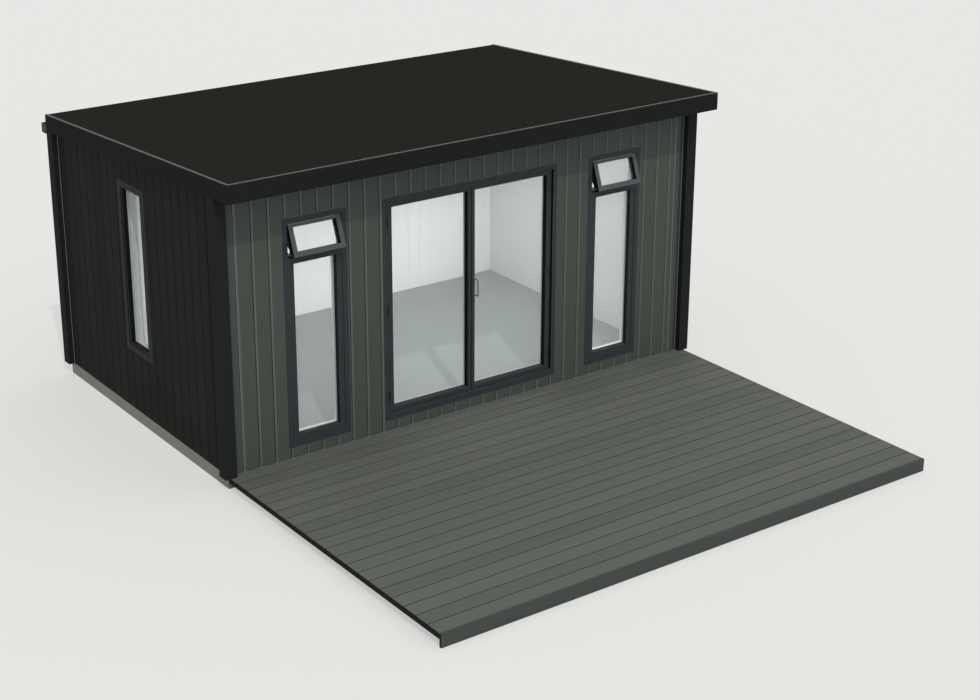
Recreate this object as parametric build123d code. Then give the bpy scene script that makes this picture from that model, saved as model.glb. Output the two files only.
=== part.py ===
from build123d import *
import math
import os

# A single-storey garden room: timber walls on a raised concrete base, one roof falling to the back,
# glazed double doors between two tall windows, one tall window in the left side and a deck in front.
# Millimetres, +Z up, +X to the right along the front, +Y to the back.
# The origin is the centre of the building on the ground.

# Overall sizes, measured over the corner posts
width = 5000
depth = 3165
deck_top = 110

# Base and floor
floor_thickness = 8

# Walls: the boards on the outside are fixed to a core, whose face stands behind them
post_size = 110
post_chamfer = 3
cladding_setback = 53
cladding_thickness = 16
core_thickness = 149
back_core_thickness = 179

# Roof
roof_front_top = 2677
roof_fall = 0.051
front_overhang = 255
fascia_height = 158
fascia_thickness = 20
roof_thickness = 120
soffit_thickness = 12
trim_width = 24
trim_thickness = 4
trim_bevel = 3

# Gutter and downpipe behind the back fascia
gutter_width = 97
gutter_height = 86
gutter_wall = 3
gutter_drop = 97
gutter_corner = 14
gutter_lip = 9
pipe_radius = 34
pipe_wall = 3
pipe_from_end = 260
pipe_bottom = 150
pipe_bend = 70
shoe_reach = 70
bracket_height = 30
bracket_inset = 250

# Openings in the front wall, placed from the middle of the front
head_drop = 469
sill_height = 97
frame_proud = 2
door_width = 1836
window_width = 610
window_spacing = 1567

# Door frame and leaves
door_frame_depth = 106
jamb_width = 46
threshold_height = 64
threshold_fall = 6
stop_width = 20
running_gap = 7
leaf_recess = 18
leaf_thickness = 62
hinge_stile = 56
meeting_stile = 38
top_rail = 45
bottom_rail = 41
leading_bevel = 4
glass_thickness = 20
leaf_glass_depth = 38
bead_splay = 5
hinge_radius = 7
hinge_offset = 8
hinge_knuckle = 30
hinge_inset = 160
hinge_plate = 26
plate_thickness = 3
knuckle_gap = 0.5

# Door handle, one bent bar on the right leaf
handle_length = 150
handle_radius = 7
handle_standoff = 66
handle_bend = 18
handle_height = 1135
handle_from_edge = 22

# Windows: a fixed pane below a transom, and a top-hung sash above it
window_frame_depth = 92
window_member = 50
bead_width = 58
bead_setback = 5
window_glass_depth = 38
vent_zone = 338
transom_height = 60
vent_gap = 11
vent_stile = 47
vent_top_rail = 30
vent_bottom_rail = 45
vent_height = 272
vent_head_gap = 5
vent_thickness = 62
vent_glass_depth = 33
vent_angle = 20
vent_setback = 5
stay_width = 14
stay_thickness = 3
stay_pin_radius = 4
stay_frame_depth = 45
stay_sash_drop = 248

# Side window in the left wall
side_window_width = 482
side_window_height = 1535
side_window_centre = 8
side_bead_width = 30
side_head_bead = 8
side_sill_bead = 22

# Deck
deck_inset = 50
deck_length = 3003
deck_fascia_thickness = 24
deck_board_thickness = 25
deck_joist_height = 24
deck_joist_width = 45
deck_joist_count = 13
deck_bearer_width = 90
deck_bearer_inset = 260
deck_bearer_count = 5
deck_wall_gap = 3

# How far a cut runs past the face that it starts from
past = 1

# Reference faces and levels
x_right = width / 2
x_left = -x_right
y_back = depth / 2
y_front = -y_back
core_setback = cladding_setback + cladding_thickness
inner_setback = core_setback + core_thickness
face_y = y_front + cladding_setback - frame_proud
face_x = x_left + cladding_setback - frame_proud
roof_front = y_front - front_overhang
core_front = y_front + core_setback
core_left = x_left + core_setback
inner_front = y_front + inner_setback
inner_back = y_back - core_setback - back_core_thickness
inner_left = x_left + inner_setback
ceiling_drop = trim_thickness + roof_thickness
opening_top = roof_front_top - head_drop
opening_bottom = deck_top + sill_height
roof_lean = math.cos(math.atan(roof_fall))


def roof_z(y, below=0):
    """Height of the roof's upper surface at y, less a drop below it."""
    return roof_front_top - roof_fall * (y - roof_front) - below


def block(x0, x1, y0, y1, z0, z1):
    """Box between two corners."""
    return Pos((x0 + x1) / 2, (y0 + y1) / 2, (z0 + z1) / 2) * Box(abs(x1 - x0), abs(y1 - y0), abs(z1 - z0))


def along_x(x0, x1, outline):
    """Solid of one side outline, given as (y, z) points, that runs from x0 to x1."""
    face = make_face(Polyline(*[(x0, y, z) for y, z in outline], close=True))
    return extrude(face, amount=x1 - x0, dir=(1, 0, 0))


def under_roof(x0, x1, y0, y1, z0, below):
    """Block from height z0 up to a sloping top, parallel to the roof and a drop below it."""
    return along_x(x0, x1, [(y0, z0), (y1, z0), (y1, roof_z(y1, below)), (y0, roof_z(y0, below))])


def sloping(x0, x1, y0, y1, below_top, below_bottom):
    """Slab of even upright thickness that lies parallel to the roof."""
    return along_x(x0, x1, [
        (y0, roof_z(y0, below_bottom)), (y1, roof_z(y1, below_bottom)),
        (y1, roof_z(y1, below_top)), (y0, roof_z(y0, below_top))])


def rod(start, end, radius):
    """Round bar between two points."""
    axis = Vector(*end) - Vector(*start)
    plane = Plane(origin=start, z_dir=axis.normalized())
    return plane * Cylinder(radius, axis.length, align=(Align.CENTER, Align.CENTER, Align.MIN))


def splayed(x0, x1, z0, z1, y0, y1, splay):
    """Opening lofted from front to back, wider in front by a splay on each side."""
    centre = Pos((x0 + x1) / 2, (z0 + z1) / 2)
    return loft([
        Plane.XZ.offset(-y) * centre * Rectangle(x1 - x0 + 2 * grow, z1 - z0 + 2 * grow)
        for y, grow in ((y0, splay), (y1, 0))])


parts = {}

# Base and floor
base_x = x_left + cladding_setback
base_y = y_front + cladding_setback
parts["base_slab"] = block(base_x, -base_x, base_y, -base_y, 0, deck_top)
parts["floor"] = block(inner_left, -inner_left, inner_front, inner_back, deck_top, deck_top + floor_thickness)

# Corner posts
post_corners = [
    (f"post_{end_name}_{side_name}", x0, y0)
    for side_name, x0 in (("left", x_left), ("right", x_right - post_size))
    for end_name, y0 in (("front", y_front), ("back", y_back - post_size))]
for name, x0, y0 in post_corners:
    post = under_roof(x0, x0 + post_size, y0, y0 + post_size, deck_top, fascia_height)
    parts[name] = chamfer(post.edges().filter_by(Axis.Z), post_chamfer)


def without_posts(solid):
    """Wall solid with the notches for the corner posts."""
    for _, x0, y0 in post_corners:
        solid = solid - block(x0, x0 + post_size, y0, y0 + post_size, 0, roof_front_top)
    return solid


# Walls
door_x = door_width / 2
window_x0 = window_spacing - window_width / 2
window_x1 = window_spacing + window_width / 2
side_y0 = side_window_centre - side_window_width / 2
side_y1 = side_window_centre + side_window_width / 2
side_z1 = opening_top
side_z0 = opening_top - side_window_height


def front_wall(x0, x1, z0=deck_top):
    """Length of the front wall, from a level up to the roof."""
    return without_posts(under_roof(x0, x1, core_front, inner_front, z0, ceiling_drop))


def window_hole(x0, x1):
    """Opening for one tall window in the front wall."""
    return block(x0, x1, core_front - past, inner_front + past, opening_bottom, opening_top)


parts["wall_front_left"] = front_wall(core_left, -door_x) - window_hole(-window_x1, -window_x0)
parts["wall_front_right"] = front_wall(door_x, -core_left) - window_hole(window_x0, window_x1)
parts["wall_front_over_door"] = front_wall(-door_x, door_x, opening_top)
parts["wall_front_under_door"] = block(-door_x, door_x, core_front, inner_front, deck_top, opening_bottom)
side_hole = block(core_left - past, inner_left + past, side_y0, side_y1, side_z0, side_z1)
for name, x0, x1 in (("wall_left", core_left, inner_left), ("wall_right", -inner_left, -core_left)):
    parts[name] = under_roof(x0, x1, inner_front, inner_back, deck_top, ceiling_drop)
parts["wall_left"] = parts["wall_left"] - side_hole
parts["wall_back"] = without_posts(
    under_roof(core_left, -core_left, inner_back, -core_front, deck_top, ceiling_drop))

# Roof
fascia_in = x_right - fascia_thickness
fascia_back_y = roof_front + fascia_thickness
parts["roof_panel"] = sloping(
    -fascia_in, fascia_in, fascia_back_y, y_back - fascia_thickness, trim_thickness, ceiling_drop)
parts["fascia_front"] = sloping(
    x_left, x_right, roof_front, fascia_back_y, trim_thickness, fascia_height)
parts["fascia_back"] = sloping(
    x_left, x_right, y_back - fascia_thickness, y_back, trim_thickness, fascia_height)
for name, x0 in (("fascia_left", x_left), ("fascia_right", fascia_in)):
    parts[name] = sloping(
        x0, x0 + fascia_thickness, fascia_back_y, y_back - fascia_thickness, trim_thickness, fascia_height)
parts["soffit_front"] = sloping(
    -fascia_in, fascia_in, fascia_back_y, y_front, ceiling_drop, ceiling_drop + soffit_thickness)


def edge_trim():
    """Metal edge swept round the roof's left, front and right sides, with its inner edge bevelled."""
    corners = [(x_left, y_back), (x_left, roof_front), (x_right, roof_front), (x_right, y_back)]
    path = Polyline(*[(x, y, roof_z(y)) for x, y in corners])
    bevel, under = -trim_bevel * roof_lean, -trim_thickness * roof_lean
    outline = [(0, 0), (trim_width - trim_bevel, 0), (trim_width, bevel), (trim_width, under), (0, under)]
    section = make_face(Polyline(*outline, close=True))
    start = Plane(origin=path @ 0, x_dir=(1, 0, 0), z_dir=path % 0)
    return sweep(start * section, path=path, transition=Transition.RIGHT)


parts["roof_trim"] = edge_trim()

# Gutter and downpipe
gutter_top = roof_z(y_back, gutter_drop)
gutter_bottom = gutter_top - gutter_height
pipe_x = x_right - pipe_from_end
pipe_y = y_back + gutter_width / 2


def gutter_length(x0, x1, cap_x):
    """Length of box gutter: a bent sheet with rounded corners and a front lip, closed at one end."""
    low = gutter_bottom + gutter_wall / 2
    back = y_back + gutter_wall / 2
    edge = y_back + gutter_width
    front = edge - gutter_wall / 2
    middle_line = FilletPolyline(
        (back, gutter_top), (back, low), (front, low), (front, gutter_top), radius=gutter_corner)
    sheet = extrude(Plane.YZ.offset(x0) * trace(middle_line, gutter_wall), amount=x1 - x0)
    lip = block(x0, x1, edge - gutter_lip, edge, gutter_top - gutter_wall, gutter_top)
    cap = block(cap_x, cap_x + gutter_wall, y_back, edge, gutter_bottom + gutter_corner, gutter_top)
    return sheet + lip + cap


outlet_top = gutter_bottom + gutter_corner
outlet = rod(
    (pipe_x, pipe_y, gutter_bottom - past), (pipe_x, pipe_y, outlet_top), pipe_radius - pipe_wall)
parts["gutter_left"] = gutter_length(x_left, 0, x_left)
parts["gutter_right"] = gutter_length(0, x_right, x_right - gutter_wall) - outlet


def downpipe():
    """Round pipe swept down to a shoe that throws clear of the wall, on three wall brackets."""
    route = FilletPolyline(
        (pipe_x, pipe_y, gutter_bottom), (pipe_x, pipe_y, pipe_bottom + shoe_reach),
        (pipe_x, pipe_y + shoe_reach, pipe_bottom), radius=pipe_bend)
    start = Plane(origin=route @ 0, z_dir=route % 0)
    pipe = sweep(start * Circle(pipe_radius), path=route)
    lowest = pipe_bottom + shoe_reach + bracket_inset
    highest = gutter_bottom - bracket_inset
    for level in (lowest, (lowest + highest) / 2, highest):
        collar = Pos(pipe_x, pipe_y, level) * Cylinder(pipe_radius + pipe_wall, bracket_height)
        arm = block(
            pipe_x - pipe_radius / 2, pipe_x + pipe_radius / 2, -core_front, pipe_y,
            level - bracket_height / 2, level + bracket_height / 2)
        pipe = pipe + collar + arm
    return pipe - sweep(start * Circle(pipe_radius - pipe_wall), path=route)


parts["downpipe"] = downpipe()

# Door frame: head and jambs, a sill that falls to the front, and a stop behind the leaves all round
leaf_front = face_y + leaf_recess
leaf_back = leaf_front + leaf_thickness
frame_back = face_y + door_frame_depth
hinge_y = face_y - hinge_offset
hinge_x = door_x - jamb_width - running_gap / 2
leaf_outer = door_x - jamb_width - running_gap
leaf_inner = running_gap / 2
leaf_z0 = opening_bottom + threshold_height + running_gap
leaf_z1 = opening_top - jamb_width - running_gap


def door_frame():
    """Frame of the double doors with its sloping sill, its stop and the fixed hinge knuckles."""
    sill_top = opening_bottom + threshold_height
    frame = block(-door_x, door_x, face_y, frame_back, opening_bottom, opening_top)
    frame = frame - block(
        jamb_width - door_x, door_x - jamb_width, face_y - past, frame_back + past,
        sill_top, opening_top - jamb_width)
    frame = frame - along_x(jamb_width - door_x, door_x - jamb_width, [
        (face_y - past, sill_top - threshold_fall), (face_y - past, sill_top + past),
        (leaf_front, sill_top + past), (leaf_front, sill_top)])
    stop_y = leaf_back + running_gap
    stop_x = door_x - jamb_width - stop_width
    stop = block(
        -door_x + jamb_width, door_x - jamb_width, stop_y, frame_back, sill_top, opening_top - jamb_width)
    stop = stop - block(
        -stop_x, stop_x, stop_y - past, frame_back + past, sill_top + stop_width,
        opening_top - jamb_width - stop_width)
    frame = frame + stop
    for side in (-1, 1):
        frame = frame + knuckles(side, False)
    return frame


def knuckles(side, moving):
    """Hinge knuckles with their plates on one side: the middle ones move, the outer pairs are fixed."""
    solids = None
    middle = (leaf_z0 + leaf_z1) / 2
    for level in (leaf_z0 + hinge_inset, middle, leaf_z1 - hinge_inset):
        for index in (0,) if moving else (-1, 1):
            low = level + (index - 0.5) * hinge_knuckle + knuckle_gap / 2
            high = low + hinge_knuckle - knuckle_gap
            barrel = rod((side * hinge_x, hinge_y, low), (side * hinge_x, hinge_y, high), hinge_radius)
            if moving:
                inner = hinge_x - running_gap / 2
                web = block(side * (inner - plate_thickness), side * hinge_x, hinge_y, leaf_front, low, high)
                plate = block(
                    side * (inner - hinge_plate), side * inner, leaf_front - plate_thickness, leaf_front,
                    low, high)
            else:
                inner = hinge_x + running_gap / 2
                web = block(side * hinge_x, side * (inner + plate_thickness), hinge_y, face_y, low, high)
                plate = block(
                    side * inner, side * (inner + hinge_plate), face_y - plate_thickness, face_y, low, high)
            solid = barrel + web + plate
            solids = solid if solids is None else solids + solid
    return solids


def glass_hole(side):
    """Extents of a leaf's glass: its inner and outer x, and its lower and upper z."""
    return (side * (leaf_inner + meeting_stile), side * (leaf_outer - hinge_stile),
            leaf_z0 + bottom_rail, leaf_z1 - top_rail)


def door_leaf(side):
    """One leaf, its closing edge bevelled so that it clears the other leaf as it swings out."""
    outline = Polyline(
        (side * leaf_inner, leaf_front, leaf_z0), (side * leaf_outer, leaf_front, leaf_z0),
        (side * leaf_outer, leaf_back, leaf_z0), (side * (leaf_inner + leading_bevel), leaf_back, leaf_z0),
        close=True)
    leaf = extrude(make_face(outline), amount=leaf_z1 - leaf_z0, dir=(0, 0, 1))
    xa, xb, z0, z1 = glass_hole(side)
    x0, x1 = min(xa, xb), max(xa, xb)
    glass_y = leaf_front + leaf_glass_depth
    leaf = leaf - splayed(x0, x1, z0, z1, leaf_front, glass_y, bead_splay)
    leaf = leaf - block(x0, x1, glass_y - past, leaf_back + past, z0, z1)
    return leaf + knuckles(side, True)


def leaf_glass(side):
    """Sealed double glazing of one leaf."""
    x0, x1, z0, z1 = glass_hole(side)
    glass_y = leaf_front + leaf_glass_depth
    return block(x0, x1, glass_y, glass_y + glass_thickness, z0, z1)


parts["door_frame"] = door_frame()
for name, side in (("left", -1), ("right", 1)):
    parts[f"door_leaf_{name}"] = door_leaf(side)
    parts[f"door_glass_{name}"] = leaf_glass(side)


def door_handle():
    """Pull handle on the right leaf: one round bar swept from the leaf out, up and back."""
    x = leaf_inner + handle_from_edge
    z0 = deck_top + handle_height - handle_length / 2
    z1 = z0 + handle_length
    out = leaf_front - handle_standoff
    route = FilletPolyline(
        (x, leaf_front, z0), (x, out, z0), (x, out, z1), (x, leaf_front, z1), radius=handle_bend)
    return sweep(Plane(origin=route @ 0, z_dir=route % 0) * Circle(handle_radius), path=route)


parts["door_handle"] = door_handle()


def glazed_hole(x0, x1, z0, z1, member, beads, depth, glass_depth):
    """What is cut from a fixed window's frame: the rebate in front of the beads, and the glass opening."""
    left_bead, right_bead, low_bead, high_bead = beads
    rebate = block(x0 + member, x1 - member, -past, bead_setback, z0 + member, z1 - member)
    gx0, gx1 = x0 + member + left_bead, x1 - member - right_bead
    gz0, gz1 = z0 + member + low_bead, z1 - member - high_bead
    hole = splayed(gx0, gx1, gz0, gz1, 0, glass_depth, bead_splay)
    hole = hole + block(gx0, gx1, glass_depth - past, depth + past, gz0, gz1)
    glass = block(gx0, gx1, glass_depth, glass_depth + glass_thickness, gz0, gz1)
    return rebate + hole, glass


def stays(sash_x0, sash_x1, hang, hinge_z):
    """Pair of flat arms beside a sash, each with a pin into the frame and a pin into the sash."""
    at_sash = (hang * Pos(0, vent_thickness / 2, -stay_sash_drop)).position
    at_frame = Vector(0, face_y + stay_frame_depth, at_sash.Z)
    length = at_frame.Y - at_sash.Y
    centre = (at_frame.Y + at_sash.Y) / 2
    pair = []
    for edge in (sash_x0 - vent_gap, sash_x1):
        middle = edge + vent_gap / 2
        arm = extrude(
            Plane.YZ.offset(middle - stay_thickness / 2) * Pos(centre, at_sash.Z)
            * SlotCenterToCenter(length, stay_width), amount=stay_thickness)
        frame_side, sash_side = (edge, edge + vent_gap) if edge < sash_x0 else (edge + vent_gap, edge)
        for y, wall in ((at_frame.Y, frame_side), (at_sash.Y, sash_side)):
            arm = arm + rod((middle, y, at_sash.Z), (wall, y, at_sash.Z), stay_pin_radius)
        pair.append(arm)
    return Compound(pair)


def front_window(name, centre):
    """Tall window: a fixed pane below and a top-hung sash above, which stands open on two stays."""
    x0 = -window_width / 2
    x1 = window_width / 2
    transom_top = opening_top - vent_zone
    transom_bottom = transom_top - transom_height
    place = Pos(centre, face_y, 0)
    hole, glass = glazed_hole(
        x0, x1, opening_bottom, transom_bottom + window_member, window_member,
        (bead_width, bead_width, bead_width, 0), window_frame_depth, window_glass_depth)
    frame = block(x0, x1, 0, window_frame_depth, opening_bottom, opening_top) - hole
    frame = frame - block(
        x0 + window_member, x1 - window_member, -past, window_frame_depth + past,
        transom_top, opening_top - window_member)
    parts[f"window_{name}_frame"] = place * frame
    parts[f"window_{name}_glass"] = place * glass

    sash_x0 = x0 + window_member + vent_gap
    sash_x1 = x1 - window_member - vent_gap
    hinge_z = opening_top - window_member - vent_head_gap
    gx0, gx1 = sash_x0 + vent_stile, sash_x1 - vent_stile
    gz0, gz1 = vent_bottom_rail - vent_height, -vent_top_rail
    sash = block(sash_x0, sash_x1, 0, vent_thickness, -vent_height, 0)
    sash = sash - splayed(gx0, gx1, gz0, gz1, 0, vent_glass_depth, bead_splay)
    sash = sash - block(gx0, gx1, vent_glass_depth - past, vent_thickness + past, gz0, gz1)
    pane = block(gx0, gx1, vent_glass_depth, vent_glass_depth + glass_thickness, gz0, gz1)
    hang = Pos(centre, face_y + vent_setback, hinge_z) * Rot(-vent_angle, 0, 0)
    parts[f"window_{name}_vent"] = hang * sash
    parts[f"window_{name}_vent_glass"] = hang * pane
    parts[f"window_{name}_stays"] = stays(centre + sash_x0, centre + sash_x1, hang, hinge_z)


front_window("left", -window_spacing)
front_window("right", window_spacing)


def side_window():
    """Tall fixed window, drawn facing the front and then turned to face the left."""
    x0 = -side_window_width / 2
    x1 = side_window_width / 2
    beads = (side_bead_width, side_bead_width, side_sill_bead, side_head_bead)
    hole, glass = glazed_hole(
        x0, x1, side_z0, side_z1, window_member, beads, window_frame_depth, window_glass_depth)
    frame = block(x0, x1, 0, window_frame_depth, side_z0, side_z1) - hole
    place = Pos(face_x, side_window_centre, 0) * Rot(0, 0, -90)
    parts["window_side_frame"] = place * frame
    parts["window_side_glass"] = place * glass


side_window()

# Deck
deck_left = x_left + deck_inset
deck_right = -deck_left
deck_front = y_front - deck_length
deck_back = y_front + cladding_setback - deck_wall_gap
boards_front = deck_front + deck_fascia_thickness
joist_top = deck_top - deck_board_thickness
joist_bottom = joist_top - deck_joist_height
parts["deck_boards"] = block(deck_left, deck_right, boards_front, deck_back, joist_top, deck_top)
parts["deck_fascia"] = block(deck_left, deck_right, deck_front, boards_front, 0, deck_top)


def spread(first, last, size, count):
    """Start of each of a row of like members, evenly spaced between two edges."""
    pitch = (last - first - size) / (count - 1)
    return [first + index * pitch for index in range(count)]


parts["deck_joists"] = Compound([
    block(x, x + deck_joist_width, boards_front, deck_back, joist_bottom, joist_top)
    for x in spread(deck_left, deck_right, deck_joist_width, deck_joist_count)])
bearer_x = deck_right - deck_bearer_inset
parts["deck_bearers"] = Compound([
    block(-bearer_x, bearer_x, y, y + deck_bearer_width, 0, joist_bottom)
    for y in spread(boards_front, deck_back, deck_bearer_width, deck_bearer_count)])

os.makedirs("parts", exist_ok=True)
for name, solid in parts.items():
    solid.label = name
    export_step(solid, f"parts/{name}.step")
print(len(parts), "pieces")
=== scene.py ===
# %% [markdown]
# A garden room in Blender, one finish at a time.
# The walls, frames, doors and deck frame arrive as solids at their real size. What gives the building
# its looks is the skin on them: boards with shadow gaps, deck boards, seals round the glass, and paint.
# Each skin here is a surface worked out with numpy, as whole arrays, and put into a mesh in one step.

# %% The solids and their places
import math

import bpy
import numpy as np
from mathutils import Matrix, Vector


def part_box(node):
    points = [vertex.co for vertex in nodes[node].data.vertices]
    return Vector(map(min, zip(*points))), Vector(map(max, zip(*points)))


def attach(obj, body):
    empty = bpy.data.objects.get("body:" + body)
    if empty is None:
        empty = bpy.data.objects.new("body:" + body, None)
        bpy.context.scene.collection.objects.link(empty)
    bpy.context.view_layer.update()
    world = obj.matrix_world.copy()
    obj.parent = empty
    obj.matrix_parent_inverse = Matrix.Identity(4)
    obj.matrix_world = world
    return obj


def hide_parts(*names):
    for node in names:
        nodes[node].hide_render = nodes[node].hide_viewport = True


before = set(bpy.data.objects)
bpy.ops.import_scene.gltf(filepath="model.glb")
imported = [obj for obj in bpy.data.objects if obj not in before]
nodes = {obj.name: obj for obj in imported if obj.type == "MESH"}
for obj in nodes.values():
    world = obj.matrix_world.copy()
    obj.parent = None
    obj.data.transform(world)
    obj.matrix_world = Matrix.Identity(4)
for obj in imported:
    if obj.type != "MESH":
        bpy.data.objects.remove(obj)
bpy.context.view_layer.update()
MM = 0.001


def lowest(node):
    """Lowest corner of a solid as numbers (x, y, z), in metres."""
    return np.array(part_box(node)[0])


def highest(node):
    """Highest corner of a solid as numbers (x, y, z), in metres."""
    return np.array(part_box(node)[1])


ground_to_deck = highest("deck_boards")[2]
half_width = highest("post_front_right")[0]
front = lowest("post_front_left")[1]
back = highest("post_back_left")[1]
print("solids:", len(nodes), "front at", round(front, 3), "back at", round(back, 3))

# %% [markdown]
# The camera comes first, because every later choice is judged through it. It could be set by eye, but
# then lengths are judged wrongly. Instead its place, turn and lens were solved from the corners of the
# building, and a small lens shift keeps the framing of the photograph.

# %% Camera
camera_data = bpy.data.cameras.new("camera")
camera = bpy.data.objects.new("camera", camera_data)
bpy.context.scene.collection.objects.link(camera)
camera.location = (-8.8063, -13.8124, 6.7207)
camera.rotation_euler = (1.2186, 0, -0.6177)
camera_data.lens = 68.10
camera_data.sensor_width = 36
camera_data.shift_x = 0.0257
camera_data.shift_y = -0.0555
camera_data.clip_end = 200
bpy.context.scene.camera = camera
bpy.context.scene.view_settings.view_transform = "Standard"

# %% [markdown]
# The light is a plain pale sky, a little brighter on the right than on the left, with a mild sun from
# the front left. The sun lays the roof's shadow across the top of the boards and two bright patches on
# the floor inside. A picture of a sky could light the scene, but two numbers do here: how strong the
# sky is, and how much stronger to the right. Three wide lamps indoors, turned to the back wall, the
# right wall and the floor, stand for daylight that a white room spreads.

# %% Light
SUN_TRAVEL = (0.354, 1.0, -1.45)
SKY_LEVEL = 0.84
SUN_LEVEL = 0.90
SKY_SLANT = 0.42
BACK_WALL_LEVEL = 16
CEILING_LEVEL = 22
SIDE_WALL_LEVEL = 3.2


def add_lamp(name, kind, energy, place, size=None):
    """Lamp of one kind at a place, with its width and length where it is an area lamp."""
    data = bpy.data.lights.new(name, kind)
    data.energy = energy
    lamp = bpy.data.objects.new(name, data)
    bpy.context.scene.collection.objects.link(lamp)
    lamp.location = place
    if size:
        data.shape = "RECTANGLE"
        data.size, data.size_y = size
    return lamp


sun = add_lamp("sun", "SUN", SUN_LEVEL, (0, 0, 8))
sun.data.angle = math.radians(0.6)
sun.data.color = (1.0, 0.985, 0.94)
down = np.array(SUN_TRAVEL) / np.linalg.norm(SUN_TRAVEL)
sun.rotation_euler = (math.acos(-down[2]), 0, math.atan2(down[1], down[0]) - math.pi / 2)
wall_lamp = add_lamp("wall_lamp", "AREA", BACK_WALL_LEVEL, (0.35, -1.15, 1.15), (4.3, 2.0))
wall_lamp.rotation_euler = (math.radians(80), 0, 0)
wall_lamp.data.spread = math.radians(60)
ceiling_lamp = add_lamp("ceiling_lamp", "AREA", CEILING_LEVEL, (0.65, -0.35, 2.30), (3.8, 1.6))
ceiling_lamp.data.spread = math.radians(125)
side_lamp = add_lamp("side_lamp", "AREA", SIDE_WALL_LEVEL, (-0.60, 0.0, 1.20), (2.4, 1.9))
side_lamp.rotation_euler = (math.radians(90), 0, math.radians(-90))
side_lamp.data.spread = math.radians(60)
for lamp in (wall_lamp, ceiling_lamp, side_lamp):
    lamp.visible_camera = False
    lamp.visible_glossy = False

world = bpy.data.worlds.new("sky")
bpy.context.scene.world = world
world.use_nodes = True
sky = world.node_tree.nodes["Background"]
sky.inputs["Color"].default_value = (0.985, 1.0, 1.0, 1)


def slanted_sky(level, slant):
    """Strength of the sky, level (1 + slant x), where x is the part of a direction that points right."""
    tree = world.node_tree
    direction = tree.nodes.new("ShaderNodeTexCoord")
    parts = tree.nodes.new("ShaderNodeSeparateXYZ")
    strength = tree.nodes.new("ShaderNodeMath")
    strength.operation = "MULTIPLY_ADD"
    strength.inputs[1].default_value = level * slant
    strength.inputs[2].default_value = level
    tree.links.new(direction.outputs["Generated"], parts.inputs[0])
    tree.links.new(parts.outputs["X"], strength.inputs[0])
    tree.links.new(strength.outputs[0], sky.inputs["Strength"])


def flat_backdrop(colour):
    """To the camera the sky is one flat colour, so that the ground runs on without a horizon."""
    tree = world.node_tree
    backdrop = tree.nodes.new("ShaderNodeBackground")
    backdrop.inputs["Color"].default_value = (*colour, 1)
    seen = tree.nodes.new("ShaderNodeLightPath")
    mix = tree.nodes.new("ShaderNodeMixShader")
    tree.links.new(seen.outputs["Is Camera Ray"], mix.inputs[0])
    tree.links.new(sky.outputs[0], mix.inputs[1])
    tree.links.new(backdrop.outputs[0], mix.inputs[2])
    tree.links.new(mix.outputs[0], tree.nodes["World Output"].inputs["Surface"])


BACKDROP = (0.800, 0.802, 0.788)
slanted_sky(SKY_LEVEL, SKY_SLANT)
flat_backdrop(BACKDROP)
print("lamps:", sun.name, wall_lamp.name, ceiling_lamp.name, side_lamp.name)

# %% [markdown]
# Materials are small node trees. They could be wired node by node in the editor, but most finishes
# here are a paint or a stain over something with a grain. So a class gives short calls for the nodes
# they share, such as a noise stretched along the grain, and each finish is a few lines of those calls.

# %% Material helpers


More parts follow.
